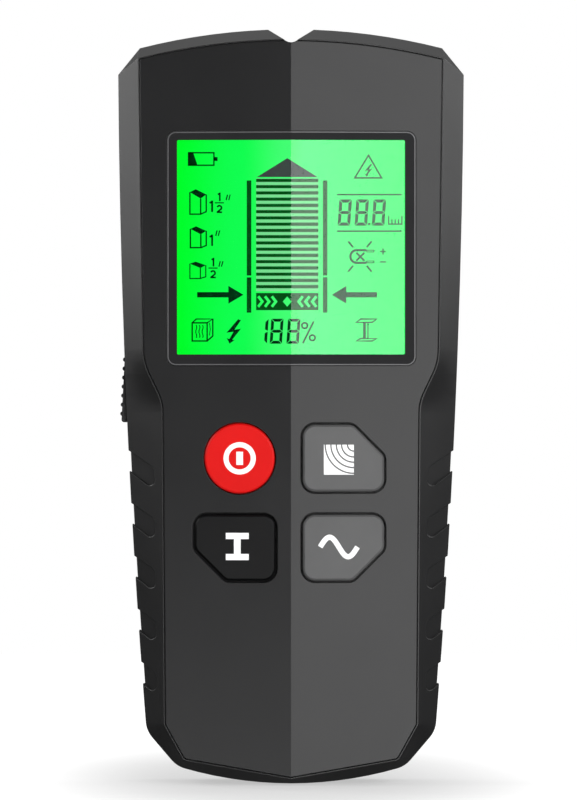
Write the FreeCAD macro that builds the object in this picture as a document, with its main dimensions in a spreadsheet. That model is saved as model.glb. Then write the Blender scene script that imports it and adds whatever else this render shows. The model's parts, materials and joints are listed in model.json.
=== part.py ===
import FreeCAD, Part

import math
import os
import re

import Sketcher

# Stud finder, modelled lying on its back: x across, y along the length (the sensing end is +y)
# and z is the thickness, measured from the flat back. UPRIGHT then stands it on its lower end,
# with the face towards -Y and the back in the plane Y = 0.

V = FreeCAD.Vector
UPRIGHT = FreeCAD.Placement(V(0, 0, 0), FreeCAD.Rotation(V(1, 0, 0), 90))

doc = FreeCAD.newDocument("StudFinder")

# ---------------------------------------------------------------- sizes, in mm and degrees
SIZES = {
    # outer outline, right half
    "top_apex_y": 83.5, "top_arc": 135,
    "cheek_x": 33.45, "cheek_y": 79.3, "shoulder_x": 38.25, "shoulder_y": 73.4,
    "side_arc": 2000,
    "hip_x": 32, "hip_y": -71.8, "toe_x": 25.3, "toe_y": -79.6,
    "foot_y": -83.45, "bottom_arc": 86, "corner_round": 6,
    # face outline, right half
    "face_apex_y": 80.5, "face_arc": 141,
    "face_top_x": 33.35, "face_top_y": 76.5, "waist_x": 32.4, "waist_y": 9.7,
    "grip_x": 28.2, "grip_y": 1, "tail_x": 27.67, "tail_y": -70,
    "heel_x": 23.43, "heel_y": -77.6, "tip_y": -81.6,
    "waist_round": 12, "grip_round": 10, "heel_round": 1.3,
    # levels
    "ridge": 28, "roof_angle": 4.5, "shoulder_level": 18.5, "seam_level": 9,
    "crown_drop": 0.4, "crown_land": 0.35, "cavity_top": 17.5,
    "wall": 2.2, "floor_thick": 2, "rear_step": 0.5, "rear_chamfer": 1.6,
    "panel_thick": 2.4, "panel_gap": 0.12, "panel_ledge": 1.6, "panel_chamfer": 0.16,
    "film": 0.12,
    # marking notch
    "notch_floor": 80.1, "notch_round": 2, "notch_slope": 37,
    # grip cuts
    "slot_out": 42, "slot_in": 30.1, "slot_top": -13.5, "slot_low": -18.6,
    "slot_top_out": -5.8, "slot_low_out": -9.7, "slot_pitch": 11.3, "slot_shift": 0.12,
    "slot_sink": 0.5, "slot_drop": 0.8,
    # lens and display
    "lens_x": 0.1, "lens_y": 34.8, "lens_width": 54.7, "lens_height": 51.45,
    "lens_round": 1.9, "lens_thick": 1.25, "lens_gap": 0.1,
    "bezel_rise": 0.1, "bezel_low": 0.38, "bezel_gap": 0.02,
    "lit_x": 0, "lit_y": 35.06, "lit_width": 50.2, "lit_height": 47.2,
    "window_width": 51.5, "window_height": 48.5,
    # keys
    "key_gap": 0.5, "key_rise": 0.3, "key_bevel": 0.45,
    "key_round": 3.2, "key_cut_round": 2.5, "key_cut": 7.2,
    "key_near": 2.09, "key_far": 20.96, "metal_near": 2.93, "metal_far": 21.7,
    "upper_top": -3.5, "upper_low": -19.2, "lower_top": -23.3, "lower_low": -38.8,
    "power_x": -11.3, "power_y": -11.4, "power_r": 8,
    "power_gap": 0.3, "power_bevel": 0.35,
    "flange_low": 22.6, "flange_high": 23.5, "flange_reach": 0.8,
    "key_x": 11.5, "metal_x": 12.3, "upper_y": -11.4, "lower_y": -31.05,
    # boards
    "board_low": 14.8, "board_high": 16.4, "board_half": 28.5, "board_narrow": 25.5,
    "board_top": 70, "board_bottom": -42, "board_waist": -6,
    "switch_half": 3, "switch_high": 19.9, "cover_high": 20.15,
    "stem_r": 1.7, "stem_gap": 0.35, "stem_low": 18.9, "stem_high": 22.2,
    # side key
    "side_top": 11.1, "side_low": -3.5, "side_floor": 10.9, "side_roof": 16.7,
    "side_gap": 0.4, "side_rib_pitch": 2, "side_rib_first": 10.4, "side_rib_r": 0.5,
    "hinge_x": -32.3, "hinge_y": 13.5, "pin_r": 0.75, "pin_fit": 0.05,
    # housing columns and screws
    "column_r": 3, "column_upper_x": 32, "column_upper_y": 62,
    "column_lower_x": 30, "column_lower_y": -36, "pilot_r": 1.2, "screw_r": 1.15,
    "screw_head_r": 2.4, "boss_r": 2.5,
    "boss_upper_x": 24, "boss_upper_y": 66, "boss_lower_x": 22.5, "boss_lower_y": -2.5,
    # battery and its door
    "cell_x": -3, "cell_y": -58, "cell_low": 3.1, "cell_high": 20.6, "cell_half": 22.5,
    "cell_depth": 26.2, "terminal_x": 19.6,
    "door_half": 25.5, "door_top": -42.4, "door_thick": 2, "door_gap": 0.3,
    "door_axis": -75, "door_round": 1, "door_pin_r": 0.6, "door_pin_reach": 1.1,
    # leads
    "lead_r": 0.6,
}

sheet = doc.addObject("Spreadsheet::Sheet", "Sizes")
for row, (alias, value) in enumerate(SIZES.items(), 1):
    sheet.set("A%d" % row, alias)
    sheet.set("B%d" % row, "%g" % value)
    sheet.setAlias("B%d" % row, alias)
doc.recompute()


def cells(text):
    """Write an expression so that an object outside the sheet can read it."""
    return re.sub(r"[a-z][a-z_]*[a-z]", lambda m: "Sizes." + m.group(0)
                  if m.group(0) in SIZES else m.group(0), str(text))


def number(text):
    """Value of an expression of named sizes."""
    return float(sheet.evalExpression(str(text)))


# ---------------------------------------------------------------- outlines
# An outline runs clockwise. Each of its points is (x, y, radius, turn): radius and turn tell of
# the edge that leaves the point, with turn -1 clockwise and +1 the other way round.

def unit(x, y):
    length = math.hypot(x, y)
    return x / length, y / length


def arc_centre(a, b, radius, turn):
    """Centre of the arc from a to b."""
    dx, dy = unit(b[0] - a[0], b[1] - a[1])
    half = math.hypot(b[0] - a[0], b[1] - a[1]) / 2
    away = -turn * math.sqrt(max(radius ** 2 - half ** 2, 0))
    return (a[0] + b[0]) / 2 + dy * away, (a[1] + b[1]) / 2 - dx * away


def heading(a, b, radius, point):
    """Direction of travel at a point of the edge from a to b."""
    if radius is None:
        return unit(b[0] - a[0], b[1] - a[1])
    cx, cy = arc_centre(a, b, radius, -1)
    ux, uy = unit(point[0] - cx, point[1] - cy)
    return uy, -ux


def outline(corners, arcs=None, rounds=None, inset="0"):
    """Closed outline from its corners.

    arcs gives the radius of the edge that leaves a corner, rounds the radius that a corner is
    rounded to, and inset moves every edge inwards.
    """
    arcs = arcs or {}
    rounds = rounds or {}
    count = len(corners)
    spots = [(number(x), number(y)) for x, y in corners]
    radii = [number(arcs[i]) if i in arcs else None for i in range(count)]
    path = []
    for i, (x, y) in enumerate(corners):
        before, here, after = spots[i - 1], spots[i], spots[(i + 1) % count]
        in_x, in_y = heading(before, here, radii[i - 1], here)
        out_x, out_y = heading(here, after, radii[i], here)
        share = 1 + in_x * out_x + in_y * out_y
        move_x = -(in_y + out_y) / share
        move_y = (in_x + out_x) / share
        x = "(%s) - (%.5f) * (%s)" % (x, move_x, inset)
        y = "(%s) - (%.5f) * (%s)" % (y, move_y, inset)
        edge = "(%s) - (%s)" % (arcs[i], inset) if i in arcs else None
        if i not in rounds:
            path.append((x, y, edge, -1))
            continue
        cross = in_x * out_y - in_y * out_x
        turn = 1 if cross > 0 else -1
        reach = abs(cross) / share
        path.append(("%s - (%.5f) * (%s)" % (x, in_x * reach, rounds[i]),
                     "%s - (%.5f) * (%s)" % (y, in_y * reach, rounds[i]), rounds[i], turn))
        path.append(("%s + (%.5f) * (%s)" % (x, out_x * reach, rounds[i]),
                     "%s + (%.5f) * (%s)" % (y, out_y * reach, rounds[i]), edge, -1))
    return path


def body_outline(inset="0"):
    """Outline of the whole tool, seen from the front."""
    right = [("cheek_x", "cheek_y"), ("shoulder_x", "shoulder_y"), ("hip_x", "hip_y"),
             ("toe_x", "toe_y")]
    left = [("-" + x, y) for x, y in reversed(right)]
    arcs = {1: "side_arc", 3: "bottom_arc", 5: "side_arc", 7: "top_arc"}
    round_to = "corner_round - (%s)" % inset
    rounds = {i: round_to for i in (2, 3, 4, 5)}
    return outline(right + left, arcs, rounds, inset)


def face_outline(inset="0"):
    """Outline of the two-facet face."""
    right = [("face_top_x", "face_top_y"), ("waist_x", "waist_y"), ("grip_x", "grip_y"),
             ("tail_x", "tail_y"), ("heel_x", "heel_y")]
    left = [("-" + x, y) for x, y in reversed(right)]
    corners = right + [("0", "tip_y")] + left
    waist = "waist_round - (%s)" % inset
    grip = "grip_round + (%s)" % inset
    heel = "heel_round"
    rounds = {1: waist, 2: grip, 3: heel, 4: heel, 6: heel, 7: heel, 8: grip, 9: waist}
    return outline(corners, {10: "face_arc"}, rounds, inset)


def box(x0, x1, y0, y1):
    """Rectangle."""
    return outline([(x0, y0), (x0, y1), (x1, y1), (x1, y0)])


def plate(x, y, width, height, radius, inset="0"):
    """Rectangle with rounded corners about its centre."""
    corners = [("(%s) %s (%s) / 2" % (x, sx, width), "(%s) %s (%s) / 2" % (y, sy, height))
               for sx, sy in (("-", "-"), ("-", "+"), ("+", "+"), ("+", "-"))]
    return outline(corners, None, {i: "%s - (%s)" % (radius, inset) for i in range(4)}, inset)


def disc(x, y, radius):
    """Circle."""
    return ("disc", x, y, radius)


# ---------------------------------------------------------------- sketches and features

def bind(drawing, constraint, text):
    index = drawing.addConstraint(constraint)
    drawing.setExpression("Constraints[%d]" % index, cells(text))


def draw_disc(drawing, x, y, radius):
    spot = V(number(x), number(y), 0)
    shape = Part.Circle(spot, V(0, 0, 1), number(radius))
    geo = drawing.addGeometry(shape)
    bind(drawing, Sketcher.Constraint("DistanceX", -1, 1, geo, 3, spot.x), x)
    bind(drawing, Sketcher.Constraint("DistanceY", -1, 1, geo, 3, spot.y), y)
    bind(drawing, Sketcher.Constraint("Radius", geo, number(radius)), radius)


def draw_path(drawing, path):
    count = len(path)
    spots = [(number(p[0]), number(p[1])) for p in path]
    ends = []
    for i, (x, y, radius, turn) in enumerate(path):
        a, b = spots[i], spots[(i + 1) % count]
        if radius is None:
            geo = drawing.addGeometry(Part.LineSegment(V(a[0], a[1], 0), V(b[0], b[1], 0)))
            ends.append((geo, 1, 2))
            continue
        size = number(radius)
        cx, cy = arc_centre(a, b, size, turn)
        start, stop = (b, a) if turn < 0 else (a, b)
        first = math.atan2(start[1] - cy, start[0] - cx)
        last = math.atan2(stop[1] - cy, stop[0] - cx)
        circle = Part.Circle(V(cx, cy, 0), V(0, 0, 1), size)
        geo = drawing.addGeometry(Part.ArcOfCircle(circle, first, last))
        ends.append((geo, 2, 1) if turn < 0 else (geo, 1, 2))
        bind(drawing, Sketcher.Constraint("Radius", geo, size), radius)
    for i, (geo, first, last) in enumerate(ends):
        after, after_first, _ = ends[(i + 1) % count]
        drawing.addConstraint(Sketcher.Constraint("Coincident", geo, last, after, after_first))
        x, y = path[i][:2]
        bind(drawing, Sketcher.Constraint("DistanceX", -1, 1, geo, first, spots[i][0]), x)
        bind(drawing, Sketcher.Constraint("DistanceY", -1, 1, geo, first, spots[i][1]), y)


def sketch(body, loops, offset, plane="XY_Plane"):
    """Sketch on one of the body's own planes, moved along that plane's normal."""
    drawing = body.newObject("Sketcher::SketchObject", "Sketch")
    base = [f for f in body.Origin.OriginFeatures if f.Role == plane][0]
    drawing.AttachmentSupport = [(base, "")]
    drawing.MapMode = "FlatFace"
    drawing.setExpression("AttachmentOffset.Base.z", cells(offset))
    for loop in loops if isinstance(loops[0], list) or loops[0][0] == "disc" else [loops]:
        if loop[0] == "disc":
            draw_disc(drawing, *loop[1:])
        else:
            draw_path(drawing, loop)
    return drawing


def add(body, loops, low, high, plane="XY_Plane"):
    """Pad loops between two levels of a plane."""
    offset = "-(%s)" % high if plane == "XZ_Plane" else low
    drawing = sketch(body, loops, offset, plane)
    feature = body.newObject("PartDesign::Pad", "Pad")
    feature.Profile = drawing
    feature.setExpression("Length", cells("(%s) - (%s)" % (high, low)))
    return feature


def cut(body, loops, low, high, plane="XY_Plane"):
    """Pocket loops between two levels of a plane."""
    offset = "-(%s)" % low if plane == "XZ_Plane" else high
    drawing = sketch(body, loops, offset, plane)
    feature = body.newObject("PartDesign::Pocket", "Pocket")
    feature.Profile = drawing
    feature.setExpression("Length", cells("(%s) - (%s)" % (high, low)))
    return feature


def chamfer(body, names, size):
    """Chamfer edges or whole faces of the body's last feature."""
    feature = body.newObject("PartDesign::Chamfer", "Chamfer")
    feature.Base = (body.Group[-2], names)
    feature.setExpression("Size", cells(size))
    return feature


def edges_where(feature, test):
    """Names of the edges of a feature that pass a test."""
    return ["Edge%d" % (i + 1) for i, e in enumerate(feature.Shape.Edges) if test(e)]


def faces_where(feature, test):
    """Names of the faces of a feature that pass a test."""
    return ["Face%d" % (i + 1) for i, f in enumerate(feature.Shape.Faces) if test(f)]


def roof(x, rise="0"):
    """Expression of the level of the two-facet face at a distance x from its ridge."""
    return "ridge - (%s) * tan(roof_angle) + (%s)" % (x, rise)


def trim_above(body, rise="0"):
    """Cut away everything above the two facets, raised by a little."""
    corners = [("-60", roof("60", rise)), ("-60", "60"), ("60", "60"), ("60", roof("60", rise)),
               ("0", roof("0", rise))]
    return cut(body, outline(corners), "-90", "90", "XZ_Plane")


def trim_below(body, drop):
    """Cut away everything below the two facets, lowered by a little."""
    rise = "-(%s)" % drop
    corners = [("-60", "-10"), ("-60", roof("60", rise)), ("0", roof("0", rise)),
               ("60", roof("60", rise)), ("60", "-10")]
    return cut(body, outline(corners), "-90", "90", "XZ_Plane")


made = []


def new_body(label, base=None, upright=True):
    """A body; the ones that are sub-parts stand upright and are written out at the end."""
    body = doc.addObject("PartDesign::Body", label)
    body.Label = label
    body.AllowCompound = True
    if base is not None:
        body.BaseFeature = base
    if upright:
        body.Placement = UPRIGHT
        made.append(body)
    return body


def slab(label, loops, drop_top, drop_low, upright=True):
    """A plate of even thickness that follows the two facets."""
    body = new_body(label, None, upright)
    add(body, loops, "10", "36")
    trim_above(body, "-(%s)" % drop_top)
    trim_below(body, drop_low)
    return body


def taken_from(label, blank, tool):
    """Part::Cut of two helper shapes."""
    result = doc.addObject("Part::Cut", label)
    result.Base = blank
    result.Tool = tool
    return result


# ---------------------------------------------------------------- front housing

def crown(inset, drop, down_to):
    """Bevelled upper shape of the housing.

    Ruled bevels run from the outer outline at the shoulder level up to the outline of the face,
    which lies on the two facets. Only the right half is written; the left half mirrors it.
    """
    level = number("shoulder_level")
    outer = [(number(p[0]), number(p[1])) for p in body_outline(inset)]
    face = [(number(p[0]), number(p[1])) for p in face_outline("-crown_land")]
    tan = math.tan(math.radians(number("roof_angle")))
    lowered = number("ridge") - number(drop)

    def low(spot):
        return V(spot[0], spot[1], level)

    def high(spot):
        return V(spot[0], spot[1], lowered - spot[0] * tan)

    def bulge(a, b, radius):
        cx, cy = arc_centre(a, b, radius, -1)
        ux, uy = unit((a[0] + b[0]) / 2 - cx, (a[1] + b[1]) / 2 - cy)
        return cx + ux * radius, cy + uy * radius

    def line(a, b, lift):
        return Part.LineSegment(lift(a), lift(b)).toShape()

    def arc(a, b, radius, lift, turn=-1):
        if turn > 0:
            a, b = b, a
        middle = bulge(a, b, radius)
        return Part.Arc(lift(a), lift(middle), lift(b)).toShape()

    cheek, shoulder, hip_a, hip_b, toe_a, toe_b = outer[:6]
    top, waist_a, waist_b, grip_a, grip_b, tail_a, tail_b, heel_a, heel_b, tip = face[:10]
    outer_apex = (0, number("top_apex_y") - number(inset))
    outer_foot = (0, number("foot_y") + number(inset))
    face_apex = (0, number("face_apex_y + crown_land"))
    side_r = number("side_arc") - number(inset)
    centre = arc_centre(shoulder, hip_a, side_r, -1)

    def on_side(y):
        return centre[0] + math.sqrt(side_r ** 2 - (y - centre[1]) ** 2), y

    land = number("crown_land")
    cuts = [shoulder] + [on_side(p[1]) for p in (waist_a, waist_b, grip_a, grip_b)] + [hip_a]
    rails = [line(top, waist_a, high), arc(waist_a, waist_b, number("waist_round") + land, high),
             line(waist_b, grip_a, high),
             arc(grip_a, grip_b, number("grip_round") - land, high, 1),
             line(grip_b, tail_a, high)]
    top_r = number("top_arc") - number(inset)
    round_r = number("corner_round") - number(inset)
    heel_r = number("heel_round")
    pairs = [(arc(outer_apex, cheek, top_r, low),
              arc(face_apex, top, number("face_arc") + land, high))]
    pairs += [(arc(cuts[i], cuts[i + 1], side_r, low), rails[i]) for i in range(5)]
    pairs += [(arc(hip_a, hip_b, round_r, low), arc(tail_a, tail_b, heel_r, high)),
              (line(hip_b, toe_a, low), line(tail_b, heel_a, high)),
              (arc(toe_a, toe_b, round_r, low), arc(heel_a, heel_b, heel_r, high)),
              (arc(toe_b, outer_foot, number("bottom_arc") - number(inset), low),
               line(heel_b, tip, high))]
    half = [Part.makeRuledSurface(a, b) for a, b in pairs]
    corner = Part.makePolygon([low(cheek), low(shoulder), high(top), low(cheek)])
    half.append(Part.Face(corner))
    base = [a for a, b in pairs]
    base.insert(1, line(cheek, shoulder, low))
    half += [edge.extrude(V(0, 0, number(down_to) - level)) for edge in base]
    ridge_line = line(tip, face_apex, high)
    half.append(Part.Face(Part.Wire([b for a, b in pairs] + [ridge_line])))
    foot = Part.Face(Part.Wire(base + [line(outer_foot, outer_apex, low)]))
    foot.translate(V(0, 0, number(down_to) - level))
    half.append(foot)
    both = half + [f.mirror(V(0, 0, 0), V(1, 0, 0)) for f in half]
    shell = Part.Shell(both)
    shell.sewShape()
    solid = Part.Solid(shell)
    if solid.Volume < 0:
        solid.reverse()
    return solid.removeSplitter()


def crown_object(name, inset, drop, down_to):
    result = doc.addObject("Part::Feature", name)
    result.Shape = crown(inset, drop, down_to)
    return result


def grip_slots():
    """The five slanting cuts on each side, one below the other."""
    loops = []
    for i in range(5):
        y = " - %d * slot_pitch" % i
        inner = "slot_in - %d * slot_shift" % i
        corners = [("slot_out", "slot_top_out" + y), ("slot_out", "slot_low_out" + y),
                   (inner, "slot_low" + y), (inner, "slot_top" + y)]
        loops.append(outline(corners, None, {2: "1.1", 3: "2.2"}))
        mirror = [("-(%s)" % px, py) for px, py in reversed(corners)]
        loops.append(outline(mirror, None, {1: "1.1", 0: "2.2"}))
    return loops


NOTCH_X = "notch_round * sin(notch_slope)"
NOTCH_Y = "notch_floor + notch_round * (1 - cos(notch_slope))"
NOTCH_OUT = "(%s) + (86 - (%s)) / tan(notch_slope)" % (NOTCH_X, NOTCH_Y)


def notch():
    """V notch in the top edge, with a round floor."""
    corners = [("-(%s)" % NOTCH_OUT, "86"), (NOTCH_OUT, "86"), (NOTCH_X, NOTCH_Y),
               ("-(%s)" % NOTCH_X, NOTCH_Y)]
    return outline(corners, {2: "notch_round"})


COLUMNS = [("column_upper_x", "column_upper_y"), ("-column_upper_x", "column_upper_y"),
           ("column_lower_x", "column_lower_y"), ("-column_lower_x", "column_lower_y")]
BOSSES = [("boss_upper_x", "boss_upper_y"), ("-boss_upper_x", "boss_upper_y"),
          ("boss_lower_x", "boss_lower_y"), ("-boss_lower_x", "boss_lower_y")]


def discs(spots, radius):
    return [disc(x, y, radius) for x, y in spots]


blank = crown_object("crown", "0", "crown_drop", "seam_level")
grip_floor = crown_object("grip_floor", "slot_sink", "crown_drop + slot_drop", "5")
seat = new_body("panel_seat", None, False)
add(seat, face_outline("-panel_gap"), "10", "36")
trim_below(seat, "panel_thick + film + 0.03")
slots = new_body("grip_slots", None, False)
add(slots, grip_slots(), "4", "36")
grips = taken_from("grips", slots, grip_floor)
seated = taken_from("seated", blank, seat)
gripped = taken_from("gripped", seated, grips)
doc.recompute()

front = new_body("front_housing", gripped)
cut(front, face_outline("panel_ledge"), "16", "36")
cut(front, body_outline("wall"), "5", "cavity_top")
add(front, box("-7", "7", "77.8", "82"), "seam_level", "18")
add(front, discs(COLUMNS, "column_r"), "seam_level + 0.5", "cavity_top + 0.1")
cut(front, discs(COLUMNS, "pilot_r"), "5", "cavity_top - 0.5")
cut(front, notch(), "-1", "40")
cut(front, box("-40", "-31", "side_low - side_gap - 0.4", "side_top + side_gap + 0.4"),
    "side_floor - side_gap", "side_roof + 0.3")
add(front, box("-35.2", "hinge_x + 1.6", "hinge_y - 1.6", "hinge_y + 1.6"),
    "seam_level + 0.8", "side_floor - side_gap")
cut(front, disc("hinge_x", "hinge_y", "pin_r + 0.02"), "seam_level + 0.7", "side_roof + 2.5")

# ---------------------------------------------------------------- face panel and lens
panel_blank = new_body("panel_blank", None, False)
add(panel_blank, face_outline(), "10", "36")
trim_below(panel_blank, "panel_thick")
trim_above(panel_blank)
doc.recompute()


def is_rim(edge):
    """Edge round the top of the panel, without the ridge."""
    ends = [v.Point for v in edge.Vertexes]
    mid = edge.valueAt((edge.FirstParameter + edge.LastParameter) / 2)
    tan = math.tan(math.radians(number("roof_angle")))
    on_top = all(abs(p.z - (number("ridge") - abs(p.x) * tan)) < 0.01 for p in ends)
    return on_top and abs(mid.x) > 0.01


chamfer(panel_blank, edges_where(panel_blank.Tip, is_rim), "panel_chamfer")
lens_seat = new_body("lens_seat", None, False)
add(lens_seat, plate("lens_x", "lens_y", "lens_width", "lens_height", "lens_round",
                     "-lens_gap"), "10", "36")
trim_below(lens_seat, "lens_thick + film + 0.03")
panel_cut = taken_from("panel_cut", panel_blank, lens_seat)
doc.recompute()


def key_loop(near, far, top, low, side, cut_corner, inset):
    """Square key outline with one corner cut off; side is 1 on the right and -1 on the left."""
    x0, x1 = (near, far) if side > 0 else ("-" + far, "-" + near)
    if cut_corner == "upper right":
        corners = [(x0, low), (x0, top), (x1 + " - key_cut", top), (x1, top + " - key_cut"),
                   (x1, low)]
        small = (2, 3)
    elif cut_corner == "lower right":
        corners = [(x0, low), (x0, top), (x1, top), (x1, low + " + key_cut"),
                   (x1 + " - key_cut", low)]
        small = (3, 4)
    else:
        corners = [(x0 + " + key_cut", low), (x0, low + " + key_cut"), (x0, top), (x1, top),
                   (x1, low)]
        small = (0, 1)
    rounds = {i: "key_cut_round - (%s)" % inset if i in small else "key_round - (%s)" % inset
              for i in range(5)}
    return outline(corners, None, rounds, inset)


# centre, outline, gap to the panel and bevel of each key
KEYS = {
    "power_button": (("power_x", "power_y"),
                     lambda inset: disc("power_x", "power_y", "power_r - (%s)" % inset),
                     "power_gap", "power_bevel"),
    "wood_button": (("key_x", "upper_y"),
                    lambda inset: key_loop("key_near", "key_far", "upper_top", "upper_low", 1,
                                           "upper right", inset), "key_gap", "key_bevel"),
    "metal_button": (("-metal_x", "lower_y"),
                     lambda inset: key_loop("metal_near", "metal_far", "lower_top", "lower_low",
                                            -1, "lower left", inset), "key_gap", "key_bevel"),
    "wire_button": (("key_x", "lower_y"),
                    lambda inset: key_loop("key_near", "key_far", "lower_top", "lower_low", 1,
                                           "lower right", inset), "key_gap", "key_bevel"),
}
KEY_CENTRES = [key[0] for key in KEYS.values()]

panel = new_body("face_panel", panel_cut)
cut(panel, plate("lens_x", "lens_y", "window_width", "window_height", "1.2"), "5", "36")
cut(panel, [key[1]("0") for key in KEYS.values()], "5", "36")
cut(panel, notch(), "-1", "40")
add(panel, discs(BOSSES, "boss_r"), "board_high + 0.05", "24.6")
cut(panel, discs(BOSSES, "0.9"), "10", "22.5")

film_outer = face_outline("0.4")
film_inner = face_outline("panel_ledge - 0.1")
slab("panel_adhesive", [film_outer, film_inner], "panel_thick + 0.015",
     "panel_thick + film + 0.015")
LENS = ("lens_x", "lens_y", "lens_width", "lens_height", "lens_round")
slab("display_lens", plate(*LENS), "bezel_low + bezel_gap", "lens_thick")
slab("lens_bezel", [plate(*LENS), plate("lit_x", "lit_y", "lit_width", "lit_height", "0.3")],
     "-bezel_rise", "bezel_low")
slab("lens_adhesive", [plate(*LENS, "0.4"),
                       plate("lens_x", "lens_y", "window_width", "window_height", "1.2",
                             "-0.2")], "lens_thick + 0.015", "lens_thick + film + 0.015")

# ---------------------------------------------------------------- keys
for name, (spot, loop, gap, bevel) in KEYS.items():
    key = new_body(name)
    add(key, loop(gap), "flange_low", "34")
    trim_above(key, "key_rise")
    add(key, loop("-flange_reach"), "flange_low", "flange_high")
    add(key, disc(spot[0], spot[1], "2.2"), "stem_high + 0.02", "flange_low + 0.1")
    doc.recompute()
    tops = faces_where(key.Tip, lambda f: f.BoundBox.ZMin > 24 and
                       f.normalAt(0, 0).z > 0.9)
    chamfer(key, tops, bevel)
    stem = new_body(name.replace("button", "stem"))
    add(stem, disc(spot[0], spot[1], "stem_r"), "stem_low", "stem_high")

# ---------------------------------------------------------------- side key
PAD_TOP_X = "-36.85"
PAD_LOW_X = "-37.6"
scan = new_body("scan_lever")
add(scan, outline([("-33.9", "side_low"), (PAD_LOW_X, "side_low"), (PAD_TOP_X, "side_top"),
                   ("-33.9", "side_top")], None, {1: "0.6"}), "side_floor", "side_roof")
ribs = [disc("-36.77 - 0.05 * %d * side_rib_pitch" % i,
             "side_rib_first - %d * side_rib_pitch" % i, "side_rib_r") for i in range(7)]
add(scan, ribs, "side_floor + 0.5", "side_roof - 0.5")
add(scan, outline([("-33.3", "-2"), ("-33.95", "-1.6"), ("-33.95", "side_top - 0.4"),
                   ("-33.7", "side_top"), ("-33.7", "hinge_y + 1.5"), ("-31", "hinge_y + 1.5"),
                   ("-31", "-2")]), "side_floor", "side_roof")
cut(scan, disc("hinge_x", "hinge_y", "pin_r + pin_fit"), "5", "20")
stem = new_body("side_switch_stem")
add(stem, box("-30.95", "-28", "-0.9", "0.9"), "12", "14")
pin = new_body("lever_pin")
add(pin, disc("hinge_x", "hinge_y", "pin_r"), "seam_level + 0.9", "side_roof + 2.2")

# ---------------------------------------------------------------- rear housing and battery door
rear = new_body("rear_housing")
add(rear, body_outline("rear_step"), "0", "seam_level")
doc.recompute()
chamfer(rear, edges_where(rear.Tip, lambda e: e.BoundBox.ZMax < 0.01), "rear_chamfer")
cut(rear, body_outline("rear_step + wall"), "floor_thick", "seam_level + 1")
add(rear, [body_outline("wall + 0.15"), body_outline("wall + 1.1")], "seam_level - 1.6",
    "seam_level + 1")
cut(rear, discs(COLUMNS, "column_r + 0.3"), "seam_level + 0.2", "seam_level + 2")
cut(rear, box("-7.5", "7.5", "75", "86"), "seam_level", "seam_level + 2")
add(rear, box("-7", "7", "77.2", "81"), "1", "seam_level")
add(rear, discs(COLUMNS, "column_r + 0.6"), "1", "seam_level - 0.02")
cut(rear, discs(COLUMNS, "screw_r + 0.35"), "-1", "seam_level + 2")
cut(rear, discs(COLUMNS, "screw_head_r + 0.3"), "-1", "3")
cut(rear, notch(), "-1", "40")
add(rear, box("-27", "19", "-43.4", "-42.2"), "1", "14")
add(rear, [box("-29.5", "-26.4", "-71", "-43"), box("26.4", "29.5", "-71", "-43")], "1", "6")
cut(rear, box("-door_half - door_gap", "door_half + door_gap",
              "door_axis - door_round - door_gap", "door_top + door_gap"),
    "-1", "door_thick + door_gap")
cut(rear, disc("door_axis", "door_round", "door_pin_r + pin_fit"),
    "-door_half - door_pin_reach - door_gap", "door_half + door_pin_reach + door_gap", "YZ_Plane")
cut(rear, plate("0", "26", "46", "34", "3"), "-1", "0.4")
cut(rear, box("-36", "-28", "hinge_y - 2", "hinge_y + 2"), "seam_level + 0.3", "seam_level + 2")

door = new_body("battery_door")
add(door, box("-door_half", "door_half", "door_axis", "door_top"), "0", "door_thick")
add(door, disc("door_axis", "door_round", "door_round"), "-door_half", "door_half", "YZ_Plane")
add(door, disc("door_axis", "door_round", "door_pin_r"), "-door_half - door_pin_reach",
    "door_half + door_pin_reach", "YZ_Plane")
cut(door, plate("0", "-52", "20", "10", "2"), "-1", "0.6")
add(door, [box("-8", "8", "-55.6 + 2.2 * %d" % i, "-54.8 + 2.2 * %d" % i) for i in range(4)],
    "0.1", "0.7")

# ---------------------------------------------------------------- display
rear_glass = new_body("lcd_rear_glass")
add(rear_glass, box("-26.5", "26.5", "12.3", "60.6"), "19.65", "20.7")
front_glass = new_body("lcd_front_glass")
add(front_glass, box("-26.5", "26.5", "8.9", "60.6"), "20.75", "21.85")
films = new_body("lcd_polarizers")
add(films, box("-25.8", "25.8", "11", "59.4"), "21.9", "22.1")
add(films, box("-25.8", "25.8", "12.6", "59.4"), "19.42", "19.6")
guide = new_body("light_guide")
add(guide, plate("0", "35.4", "52", "46.6", "1"), "17.2", "19.38")
cut(guide, [box("-26.2 + 8.6 * %d" % i, "-21.6 + 8.6 * %d" % i, "57", "60") for i in (1, 3, 5)],
    "16.8", "18.3")
leds = new_body("backlight_leds")
add(leds, [box("-25.9 + 8.6 * %d" % i, "-21.9 + 8.6 * %d" % i, "57.3", "59") for i in (1, 3, 5)],
    "board_high + 0.03", "18.1")
holder = new_body("lcd_holder")
add(holder, plate("0", "34.8", "57", "54.4", "1.5"), "board_high + 0.02", "22.6")
cut(holder, box("-26.9", "26.9", "8.6", "61"), "10", "22.6")
add(holder, [box("-28.5", "-26.2", "8", "61.6"), box("26.2", "28.5", "8", "61.6")],
    "22.2", "22.6")
zebra = new_body("zebra_strips")
add(zebra, box("-24", "24", "9.1", "11.3"), "board_high + 0.02", "20.72")

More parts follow.
